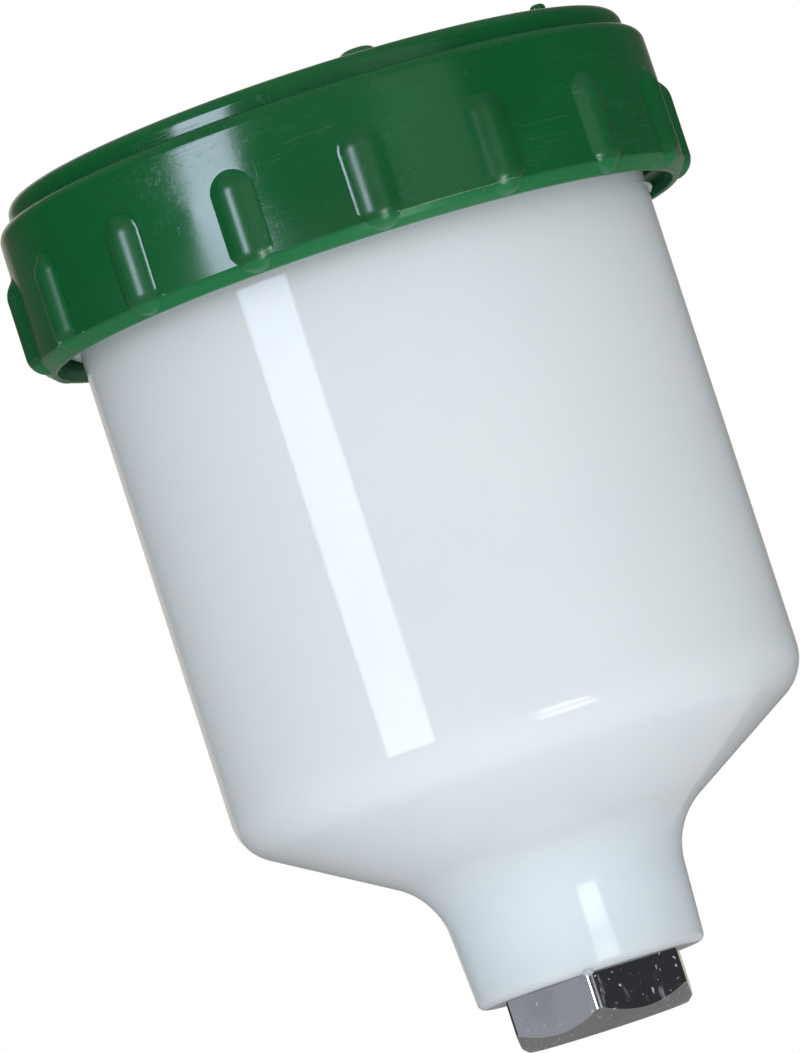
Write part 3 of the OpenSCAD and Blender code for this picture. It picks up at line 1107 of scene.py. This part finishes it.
@dataclass
class Lid:
    """The ribbed screw lid: its shell, ribs, thread, sealing ring and drip disc."""

    thread_gap: float = 3.2 * MM
    wall: float = 2 * MM
    draft: float = 0.2 * MM
    rim_h: float = 1.6 * MM
    rim_bend_h: float = 0.72 * MM
    rim_bend_in: float = 0.576 * MM
    rim_foot_in: float = 1.36 * MM
    disc_rise: float = 2.75 * MM
    shoulder_w: float = 1.9 * MM
    disc_edge: float = 1.7 * MM
    roof_t: float = 2 * MM
    seal_edge: float = 0.35 * MM
    recess_w: float = 1.3 * MM
    rim_play: float = 0.7 * MM
    ring_t: float = 1.15 * MM
    rib_count: int = 16
    rib_turn: float = math.radians(4 - 90)
    rib_w: float = 4.5 * MM
    rib_rise: float = 1.05 * MM
    rib_drop: float = 6.4 * MM
    rib_foot: float = 2.6 * MM
    rib_foot_h: float = 0.1 * MM
    rib_sink: float = 0.6 * MM
    rib_fillet: float = 0.6 * MM
    rib_apron: float = 0.5 * MM
    rib_under: float = 0.015 * MM
    tray_t: float = 1.2 * MM
    tray_hole_r: float = 1.5 * MM
    tray_hole: Point = (-17.8 * MM, 14 * MM)
    thread_turns: float = 2.0
    base_z: float = field(init=False)
    disc_z: float = field(init=False)

    def __post_init__(self) -> None:
        """Reads the lid's height from the frame."""
        low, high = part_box("lid")
        self.base_z, self.disc_z = low.z, high.z

    @property
    def shoulder_z(self) -> float:
        """Height of the shoulder round the raised disc."""
        return self.disc_z - self.disc_rise

    @property
    def ceiling_z(self) -> float:
        """Height of the roof's lower face."""
        return self.disc_z - self.roof_t

    @property
    def parting_z(self) -> float:
        """Height of the mould's parting line, where the rim's slope ends."""
        return self.base_z + self.rim_h

    def skirt_r(self, cup: Cup) -> float:
        """Finds the skirt's outer radius at its foot."""
        return cup.radius + self.thread_gap + self.wall

    def shell(self, cup: Cup, vent: "Vent") -> Piece:
        """Makes the lid's moulding, with the vent hole and the stud's hole.

        Args:
            cup: the cup that it closes.
            vent: the vent, which says where its holes are.

        Returns:
            The new piece.
        """
        low_r = self.skirt_r(cup)
        skirt_in, top_r = low_r - self.wall, low_r - self.draft
        ring_out = cup.radius - cup.wall - self.rim_play
        ring_z = cup.rim_z - cup.wall / 2
        shell = turned("lid_shell", [
            Corner(skirt_in, self.base_z, 0.2 * MM, 4),
            Corner(low_r - self.rim_foot_in, self.base_z, 0.5 * MM, 6),
            Corner(low_r - self.rim_bend_in, self.base_z + self.rim_bend_h, 0.8 * MM, 8),
            Corner(low_r, self.parting_z, 0.08 * MM, 3),
            Corner(top_r, self.shoulder_z, self.shoulder_w - 0.1 * MM, 14),
            Corner(top_r - self.shoulder_w, self.shoulder_z, 0.12 * MM, 4),
            Corner(top_r - self.shoulder_w, self.disc_z, self.disc_edge, 14),
            Corner(0.0, self.disc_z),
            Corner(0.0, self.ceiling_z),
            Corner(ring_out - self.ring_t, self.ceiling_z),
            Corner(ring_out - self.ring_t, ring_z, 0.3 * MM, 4),
            Corner(ring_out, ring_z, 0.3 * MM, 4),
            Corner(ring_out, self.ceiling_z),
            Corner(cup.radius + self.recess_w, self.ceiling_z),
            Corner(cup.radius + self.recess_w, self.shoulder_z - self.wall, 0.4 * MM, 4),
            Corner(skirt_in, self.shoulder_z - self.wall),
        ])
        for centre, radius in ((vent.stud, vent.pin_r), (vent.hole, vent.hole_r)):
            shell = drill(shell, centre, radius, self.ceiling_z - MM, self.disc_z + MM)
        return shell

    def rib(self, cup: Cup) -> Piece:
        """Makes one grip rib: a domed bar, filleted into the skirt, whose foot rolls under the skirt's edge.

        Args:
            cup: the cup that the lid closes.

        Returns:
            The rib, on the +X side.
        """
        low_r = self.skirt_r(cup)
        bar_r = ((self.rib_w / 2) ** 2 + self.rib_rise ** 2) / (2 * self.rib_rise)
        crest = low_r + self.rib_rise
        dome_z = self.shoulder_z - self.rib_drop - self.rib_w / 2
        roll_r, roll_z = crest - self.rib_foot, self.base_z + self.rib_foot_h + self.rib_foot
        reach = self.rib_w / 2 + self.rib_apron
        half_steps, dome_steps, roll_steps = 12, 16, 14
        offsets = [reach * (step / half_steps - 1) for step in range(2 * half_steps + 1)]

        def face(side: float, height: float, off_axis: float) -> float:
            """Finds the ribbed skirt's radius: the bar blends into the wall, and ends just under it.

            Args:
                side: how far the point lies beside the rib's middle plane.
                height: its height.
                off_axis: how far it lies from the bar's crest.

            Returns:
                The radius.
            """
            lean = self.draft * (height - self.base_z) / (self.shoulder_z - self.base_z)
            wall = math.sqrt((low_r - lean) ** 2 - side ** 2)
            bar = crest - bar_r + math.sqrt(bar_r ** 2 - off_axis ** 2)
            near = max(1 - abs(bar - wall) / self.rib_fillet, 0)
            under = self.rib_under if off_axis > reach - 0.01 * MM else 0.0
            return max(bar, wall) + near ** 2 * self.rib_fillet / 4 - under

        rows: list[list[Place]] = []
        for step in range(dome_steps + 1):
            turn = math.pi / 2 * (1 - step / dome_steps)
            rows.append([])
            for offset in offsets:
                side, height = offset * math.cos(turn), dome_z + abs(offset) * math.sin(turn)
                rows[-1].append((face(side, height, abs(offset)), side, height))
        edge = [(face(offset, roll_z, abs(offset)), offset) for offset in offsets]
        for step in range(roll_steps + 1):
            roll = math.pi / 2 * step / roll_steps
            rows.append([(roll_r + (x - roll_r) * math.cos(roll), side, roll_z - (x - roll_r) * math.sin(roll))
                         for x, side in edge])
        bm = bmesh.new()
        rings = []
        for row in rows:
            ends = [(x - self.rib_sink, y, z) for x, y, z in (row[-1], row[0])]
            rings.append([bm.verts.new(place) for place in row + ends])
        for ring, following in zip(rings, rings[1:]):
            bridge(bm, ring, following)
        bm.faces.new(rings[-1])
        bmesh.ops.remove_doubles(bm, verts=bm.verts, dist=WELD)
        bmesh.ops.dissolve_degenerate(bm, dist=WELD, edges=bm.edges)
        return keep_solid("lid_ribs", bm)

    def sealing_ring(self, cup: Cup) -> Piece:
        """Makes the flat sealing ring, with softened edges.

        Args:
            cup: the cup whose rim it seals.

        Returns:
            The new piece.
        """
        low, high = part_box("lid_gasket")
        inner = cup.radius - cup.wall - self.rim_play + (cup.radius + self.recess_w - high.x)
        corners = ((inner, low.z), (high.x, low.z), (high.x, high.z), (inner, high.z))
        return turned("sealing_ring", [Corner(x, y, self.seal_edge, 4) for x, y in corners])

    def drip_tray(self) -> Piece:
        """Makes the tray under the roof, with its air hole.

        Returns:
            The new piece.
        """
        low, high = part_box("drip_disc")
        wall_r, plate_z = high.x - self.tray_t, low.z + self.tray_t
        tray = turned("drip_tray", [
            Corner(0.0, low.z), Corner(high.x, low.z, 0.4 * MM, 5), Corner(high.x, high.z, 0.2 * MM, 3),
            Corner(wall_r, high.z, 0.2 * MM, 3), Corner(wall_r, plate_z, 0.3 * MM, 4), Corner(0.0, plate_z),
        ], segments=160)
        return drill(tray, self.tray_hole, self.tray_hole_r, low.z - MM, high.z)

    def build(self, cup: Cup, vent: "Vent", ring: RingPattern, helix: HelixPattern) -> None:
        """Makes and dresses the lid's pieces.

        Args:
            cup: the cup that it closes.
            vent: the vent on its roof.
            ring: the pattern that repeats the rib.
            helix: the pattern that makes the thread.
        """
        green = GreenPlastic("lid green", parting_z=self.parting_z).material()
        dress(self.shell(cup, vent), green, Body.LID, ["lid"])
        ribs = ring.run(self.rib(cup), green, {"Count": self.rib_count, "Turn": self.rib_turn})
        dress(ribs, green, Body.LID)
        ridge = thread_ridge("lid_thread", helix, green, {
            "Radius": cup.radius + self.thread_gap, "Pitch": cup.thread_pitch, "Turns": self.thread_turns,
            "Start": cup.thread_start_z + cup.thread_pitch / 2, "Turn": cup.thread_turn,
            "Proud": cup.thread_proud, "Half width": cup.thread_half,
        })
        dress(ridge, green, Body.LID)
        foam = SoftPlastic("sealing foam", (0.80, 0.80, 0.76), roughness=0.7, grain_scale=900.0,
                           grain_depth=0.03 * MM)
        dress(self.sealing_ring(cup), foam.material(), Body.SEAL, ["lid_gasket"])
        clear = SoftPlastic("drip plastic", (0.74, 0.79, 0.80), roughness=0.3)
        dress(self.drip_tray(), clear.material(), Body.LID, ["drip_disc"])


@dataclass
class Vent:
    """The vent shutter and the stud that it swings on."""

    stud: Point = (7 * MM, -14 * MM)
    turn: float = math.radians(20)
    reach: float = 21.6 * MM
    nub_out: float = 1.8 * MM
    pin_r: float = 1.5 * MM
    hole_r: float = 1.25 * MM
    head_r: float = 3.2 * MM
    dome_h: float = 1.35 * MM
    foot_r: float = 2.6 * MM
    play: float = 0.06 * MM
    gap: float = 0.1 * MM
    hub_r: float = 4.2 * MM
    tip_r: float = 2.8 * MM
    plate_t: float = 1 * MM
    nub_r: float = 1 * MM
    edge: float = 0.25 * MM

    def along(self, distance: float) -> Point:
        """A point on the shutter's middle line, at a distance from the stud."""
        return (self.stud[0] + distance * math.cos(self.turn), self.stud[1] + distance * math.sin(self.turn))

    @property
    def hole(self) -> Point:
        """Where the vent hole goes through the roof."""
        return self.along(self.reach)

    def stud_piece(self, lid: Lid) -> Piece:
        """Makes the stud, with its domed head and the foot under the roof.

        Args:
            lid: the lid that carries it.

        Returns:
            The new piece.
        """
        low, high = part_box("vent_stud")
        seat_z = lid.disc_z + self.plate_t + 2 * self.gap
        return turned("vent_stud_piece", [
            Corner(0.0, low.z), Corner(self.foot_r, low.z, 0.2 * MM, 3), Corner(self.foot_r, lid.ceiling_z),
            Corner(self.pin_r, lid.ceiling_z), Corner(self.pin_r, seat_z),
            Corner(self.head_r, seat_z, 0.15 * MM, 3),
            Corner(self.head_r, high.z - self.dome_h, self.dome_h / 2, 8),
            Corner(self.head_r / 2, high.z - self.dome_h / 10, self.head_r / 2, 8), Corner(0.0, high.z),
        ], self.stud, segments=72)

    def plate_outline(self) -> dict[float, float]:
        """Draws the shutter's edge: a wide round hub, straight sides and a narrower round tip.

        Returns:
            The edge's radius, by angle.
        """
        reach = self.reach + self.nub_out
        lean = math.asin((self.hub_r - self.tip_r) / reach)
        hub_steps, tip_steps = 40, 32
        turns = [math.pi / 2 - lean + (math.pi + 2 * lean) * step / hub_steps for step in range(hub_steps + 1)]
        points = [(self.hub_r * math.cos(a), self.hub_r * math.sin(a)) for a in turns]
        turns = [-math.pi / 2 + lean + (math.pi - 2 * lean) * step / tip_steps for step in range(tip_steps + 1)]
        points += [(reach + self.tip_r * math.cos(a), self.tip_r * math.sin(a)) for a in turns]
        return {math.atan2(y, x) + self.turn: math.hypot(x, y) for x, y in points}

    def shutter(self, lid: Lid) -> Piece:
        """Makes the shutter's plate, with a softened edge, and its finger nub.

        Args:
            lid: the lid that it lies on.

        Returns:
            The new piece.
        """
        base_z = lid.disc_z + self.gap
        top_z, nub_z = base_z + self.plate_t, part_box("vent_shutter")[1].z
        edge_r = self.plate_outline()
        hole = self.pin_r + self.play
        bm = bmesh.new()
        sweep_round(bm, lambda angle: rounded([
            Corner(hole, base_z), Corner(edge_r[angle], base_z, 0.1 * MM, 2),
            Corner(edge_r[angle], top_z, self.edge, 4), Corner(hole, top_z, 0.1 * MM, 2),
        ]), sorted(edge_r), self.stud)
        plate = keep_solid("plate", bm)
        nub = turned("nub", [
            Corner(0.0, base_z + self.plate_t / 2), Corner(self.nub_r * 1.25, base_z + self.plate_t / 2),
            Corner(self.nub_r * 1.25, top_z + 0.05 * MM), Corner(self.nub_r * 0.9, top_z + 0.2 * MM, 0.2 * MM, 4),
            Corner(self.nub_r, nub_z, self.nub_r * 0.6, 8), Corner(0.0, nub_z),
        ], self.along(self.reach + self.nub_out), HOLE_SEGMENTS)
        return join("shutter_plate", [plate, nub])

    def build(self, lid: Lid) -> None:
        """Makes and dresses the vent's pieces.

        Args:
            lid: the lid that carries them.
        """
        green = GreenPlastic("vent green", colour=(0.010, 0.115, 0.035), deep=(0.007, 0.09, 0.026)).material()
        dress(self.stud_piece(lid), green, Body.LID, ["vent_stud"])
        dress(self.shutter(lid), green, Body.SHUTTER, ["vent_shutter"])


@dataclass
class Strainer:
    """The lift-out strainer: its moulded cage and woven gauze."""

    wire_r: float = 0.1 * MM
    gauze_r: float = 5.6 * MM
    hoops: int = 33
    wires: int = 48

    def build(self) -> None:
        """Dresses the cage and weaves the gauze."""
        cage = SoftPlastic("strainer plastic", (0.80, 0.80, 0.74)).material()
        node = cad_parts["strainer_frame"]
        node.data.materials.clear()
        node.data.materials.append(cage)
        low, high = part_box("strainer_gauze")
        weave = SoftPlastic("strainer gauze", (0.72, 0.73, 0.69), roughness=0.5).material()
        net = GauzePattern().run(empty_piece("gauze_net"), weave, {
            "Radius": self.gauze_r, "Foot": low.z + self.wire_r, "Length": high.z - low.z - 2 * self.wire_r,
            "Wire": self.wire_r, "Hoops": self.hoops, "Wires": self.wires,
        })
        dress(net, weave, Body.STRAINER, ["strainer_gauze"])


class Gives(Enum):
    """What a lamp gives the object: light on its colours, or a gleam on its gloss."""

    LIGHT = "light"
    GLEAM = "gleam"


@dataclass(frozen=True)
class Lamp:
    """One soft lamp, placed by the direction from which the object sees it."""

    name: str
    gives: Gives
    azimuth: float
    elevation: float
    distance: float
    width: float
    height: float
    radiance: float
    colour: Colour = (1.0, 1.0, 1.0)
    centre: Place = (0.0, 0.0, 60 * MM)

    def build(self) -> None:
        """Adds the lamp to the scene. Azimuth 0 is the camera's side, and positive is to its right."""
        turn, tilt = math.radians(self.azimuth), math.radians(self.elevation)
        towards = Vector((math.sin(turn) * math.cos(tilt), -math.cos(turn) * math.cos(tilt), math.sin(tilt)))
        light = bpy.data.lights.new(self.name, "AREA")
        light.shape = "RECTANGLE"
        light.size, light.size_y = self.width, self.height
        light.energy = self.radiance * math.pi * self.width * self.height
        light.color = self.colour
        lamp = add_object(self.name, light)
        lamp.visible_camera = False
        lamp.visible_diffuse = self.gives is Gives.LIGHT
        lamp.visible_glossy = self.gives is Gives.GLEAM
        lamp.location = Vector(self.centre) + towards * self.distance
        lamp.rotation_euler = towards.to_track_quat("Z", "Y").to_euler()


@dataclass(frozen=True)
class Patch:
    """A soft-edged patch of the floor: its span from side to side, and from front to back."""

    across: Point
    across_edge: float
    depth: Point
    depth_edge: float

    def mask(self, across: Signal, depth: Signal) -> Signal:
        """Is 1 on the patch and 0 off it."""
        return across.within(*self.across, self.across_edge) * depth.within(*self.depth, self.depth_edge)


@dataclass(frozen=True)
class Floor:
    """The pale floor: the light that it throws up at the object, and what the object's gloss shows of it, both
    painted glow that the floor emits.
    """

    size: float = 6.0
    colour: Colour = (0.84, 0.85, 0.86)
    # Painted reflections: what glossy rays see of the floor, paler round the nut and brighter to its right, with
    # glowing patches in front that make painted highlights.
    gloss: Colour = (0.22, 0.21, 0.20)
    gloss_left: Colour = (0.28, 0.28, 0.29)
    gloss_right: Colour = (0.66, 0.66, 0.67)
    side_blend: float = 40 * MM
    around_from: Point = (14 * MM, 18 * MM)
    around_to: Point = (58 * MM, 72 * MM)
    gleam: Colour = (11.5, 11.8, 12.5)
    gleam_far: Patch = Patch((0.21, 0.54), 0.06, (-0.29, -0.175), 0.015)
    gleam_close: Patch = Patch((0.20, 0.56), 0.08, (-0.132, -0.105), 0.010)
    close_share: float = 0.8
    # Painted glow that diffuse rays see on the floor: a base level, a brighter patch in front and one close under
    # the object, where no lamp is.
    light: Colour = (0.58, 0.58, 0.59)
    glow_patch: Patch = Patch((-0.15, 0.35), 0.05, (-0.50, -0.07), 0.03)
    glow_patch_light: Colour = (1.22, 1.22, 1.22)
    near: Patch = Patch((-0.05, 0.06), 0.02, (-0.09, -0.03), 0.01)
    near_light: Colour = (1.16, 1.18, 1.20)

    def _shown(self, surface: SurfaceBuilder) -> Socket:
        """Colours the painted reflection that the object's gloss shows of the floor: dim, with two bright patches
        in front.

        The bright patches spread with the distance: they are set by how far aside a place lies for
        each metre that it lies in front.

        Args:
            surface: the floor's builder.

        Returns:
            The colour in each place.
        """
        aside = surface.x / (surface.y * -1.0)
        far = self.gleam_far.mask(aside, surface.y)
        close = self.gleam_close.mask(aside, surface.y)
        around = surface.outside(*self.around_from) * (1.0 - surface.outside(*self.around_to))
        right = surface.x.step(-self.side_blend, self.side_blend)
        shown = surface.mix(self.gloss, self.gloss_left, around)
        shown = surface.mix(shown, self.gloss_right, around * right)
        return surface.mix(shown, self.gleam, far.highest(close * self.close_share))

    def _thrown(self, surface: SurfaceBuilder) -> Socket:
        """Colours the painted glow that diffuse rays find on the floor in place of its lit colour, brighter on a
        patch in front and close under the object.

        Args:
            surface: the floor's builder.

        Returns:
            The colour in each place.
        """
        glow_patch = self.glow_patch.mask(surface.x, surface.y)
        near = self.near.mask(surface.x, surface.y)
        return surface.mix(surface.mix(self.light, self.glow_patch_light, glow_patch), self.near_light, near)

    def build(self) -> None:
        """Adds the floor, which lets the low camera see through its underside."""
        half = self.size / 2
        mesh = bpy.data.meshes.new("floor")
        mesh.from_pydata([(-half, -half, 0), (half, -half, 0), (half, half, 0), (-half, half, 0)], [],
                         [(0, 1, 2, 3)])
        floor = add_object("floor", mesh)
        surface = SurfaceBuilder("floor")
        pale = surface.add("ShaderNodeBsdfDiffuse", values={"Color": (*self.colour, 1.0)})
        # Painted reflection: glossy rays see this glow in place of the lit floor.
        shine = surface.add("ShaderNodeEmission", values={"Color": self._shown(surface), "Strength": 1.0})
        # Painted glow: diffuse rays see this in place of the lit floor.
        painted_glow = surface.add("ShaderNodeEmission", values={"Color": self._thrown(surface), "Strength": 1.0})
        clear = surface.add("ShaderNodeBsdfTransparent")
        path = surface.add("ShaderNodeLightPath").outputs
        lit = surface.either(pale, painted_glow, path["Is Diffuse Ray"])
        upper = surface.either(lit, shine, path["Is Glossy Ray"])
        surface.material.cycles.emission_sampling = "NONE"
        under = surface.add("ShaderNodeNewGeometry").outputs["Backfacing"]
        both = surface.either(upper, clear, under)
        surface.add("ShaderNodeOutputMaterial", values={"Surface": both.outputs[0]})
        mesh.materials.append(surface.material)


@dataclass(frozen=True)
class Walls:
    """Walls all round, by their share of a full turn, under a ceiling that starts where they have risen."""

    ring: tuple[tuple[float, Colour], ...]
    above: Colour
    rise: Point

    def colour(self, sky: NodeBuilder, share: Signal, height: Signal) -> Socket:
        """Colours the walls and the ceiling.

        Args:
            sky: the world's builder.
            share: the bearing, from 0 to 1, as a share of a full turn.
            height: how far a direction points up, from -1 to 1.

        Returns:
            The colour in each direction.
        """
        walls = sky.add("ShaderNodeValToRGB", {"stops": self.ring}, {0: share})
        return sky.mix(walls.outputs[0], self.above, height.step(*self.rise))


@dataclass(frozen=True)
class Surroundings:
    """Bright walls that light the object, and dimmer ones that its gloss shows. The camera sees plain white."""

    light: Walls = Walls((
        (0.000, (0.32, 0.32, 0.32)),
        (0.250, (0.22, 0.22, 0.23)),
        (0.400, (0.52, 0.53, 0.54)),
        (0.460, (1.38, 1.39, 1.40)),
        (0.580, (1.38, 1.38, 1.38)),
        (0.680, (0.36, 0.36, 0.36)),
        (1.000, (0.32, 0.32, 0.32)),
    ), above=(1.0, 1.0, 1.0), rise=(0.50, 0.90))
    gloss: Walls = Walls((
        (0.000, (0.66, 0.61, 0.52)),
        (0.045, (0.55, 0.51, 0.44)),
        (0.070, (0.11, 0.10, 0.09)),
        (0.180, (0.03, 0.03, 0.03)),
        (0.300, (0.03, 0.03, 0.03)),
        (0.420, (0.07, 0.07, 0.07)),
        (0.455, (0.10, 0.10, 0.11)),
        (0.545, (0.13, 0.13, 0.14)),
        (0.570, (0.45, 0.45, 0.46)),
        (0.630, (0.45, 0.45, 0.46)),
        (0.650, (0.035, 0.037, 0.04)),
        (0.740, (0.030, 0.031, 0.033)),
        (0.860, (0.05, 0.05, 0.05)),
        (0.930, (0.08, 0.08, 0.08)),
        (0.960, (0.14, 0.13, 0.12)),
        (1.000, (0.66, 0.61, 0.52)),
    ), above=(0.20, 0.205, 0.21), rise=(0.45, 0.90))
    low_wall: Colour = (0.35, 0.36, 0.39)
    low_wall_span: Point = (0.255, 0.366)
    low_wall_edge: float = 0.008
    low_wall_top: Point = (0.065, 0.095)
    seen: Colour = (1.0, 1.0, 1.0)

    def build(self) -> None:
        """Makes the world."""
        world = bpy.data.worlds.new("studio")
        world.use_nodes = True
        bpy.context.scene.world = world
        sky = NodeBuilder(world.node_tree)
        x, y, z = sky.axes(sky.add("ShaderNodeTexCoord").outputs["Generated"])
        turn = sky.signal(sky.add("ShaderNodeMath", {"operation": "ARCTAN2"}, {0: x, 1: y * -1.0}).outputs[0])
        share = turn / math.tau + 0.5
        light, gloss = self.light.colour(sky, share, z), self.gloss.colour(sky, share, z)
        low = share.within(*self.low_wall_span, self.low_wall_edge) * (1.0 - z.step(*self.low_wall_top))
        path = sky.add("ShaderNodeLightPath").outputs
        lit = sky.mix(light, sky.mix(gloss, self.low_wall, low), path["Is Glossy Ray"])
        straight = sky.signal(path["Is Camera Ray"]).highest(sky.signal(path["Is Transmission Ray"]))
        back = sky.add("ShaderNodeBackground", values={"Color": sky.mix(lit, self.seen, straight)})
        sky.add("ShaderNodeOutputWorld", values={"Surface": back.outputs[0]})


@dataclass(frozen=True)
class Camera:
    """The camera, low in front of the cup and rolled so that the cup leans to the left."""

    elevation: float = -5.07
    roll: float = -17.955
    distance: float = 1.2012
    aim_height: float = 35.58 * MM
    aim_right: float = 13.66 * MM
    aim_down: float = 25.105 * MM
    lens: float = 348.5
    sensor: float = 36.0
    clip: Point = (0.05, 20.0)

    def build(self) -> None:
        """Adds the camera."""
        tilt, roll = math.radians(self.elevation), math.radians(self.roll)
        ahead = Vector((0.0, math.cos(tilt), -math.sin(tilt)))
        level = Vector((1.0, 0.0, 0.0))
        upright = level.cross(ahead)
        right = level * math.cos(roll) + upright * math.sin(roll)
        up = upright * math.cos(roll) - level * math.sin(roll)
        target = Vector((0.0, 0.0, self.aim_height)) - right * self.aim_right + up * self.aim_down
        data = bpy.data.cameras.new("camera")
        data.lens, data.sensor_width = self.lens, self.sensor
        data.clip_start, data.clip_end = self.clip
        camera = add_object("camera", data)
        pose = Matrix((right, up, -ahead)).transposed().to_4x4()
        pose.translation = target - ahead * self.distance
        camera.matrix_world = pose
        bpy.context.scene.camera = camera


@dataclass(frozen=True)
class Studio:
    """The photograph's studio. What the object's gloss shows is set apart from what lights its colours."""

    floor: Floor = Floor()
    surroundings: Surroundings = Surroundings()
    camera: Camera = Camera()
    lamps: tuple[Lamp, ...] = (
        Lamp("softbox", Gives.LIGHT, azimuth=-38.8, elevation=16.0, distance=1.5, width=0.50, height=0.62,
             radiance=3.5, colour=(0.85, 0.93, 1.0)),
        Lamp("softbox gleam", Gives.GLEAM, azimuth=-39.5, elevation=13.1, distance=1.4, width=0.504,
             height=0.713, radiance=12.5, colour=(0.71, 0.77, 1.0)),
    )

    def build(self) -> None:
        """Builds the studio."""
        for part in (self.floor, self.surroundings, self.camera, *self.lamps):
            part.build()
        bpy.context.scene.view_settings.view_transform = "Standard"


def main() -> None:
    logging.basicConfig(level=logging.INFO)
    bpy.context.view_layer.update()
    helix, ring = HelixPattern(), RingPattern()
    cup, vent, lid = Cup(), Vent(), Lid()
    Studio().build()
    cup.build(helix)
    Insert().build(cup, helix)
    lid.build(cup, vent, ring, helix)
    vent.build(lid)
    Strainer().build()


if __name__ == "__main__":
    main()
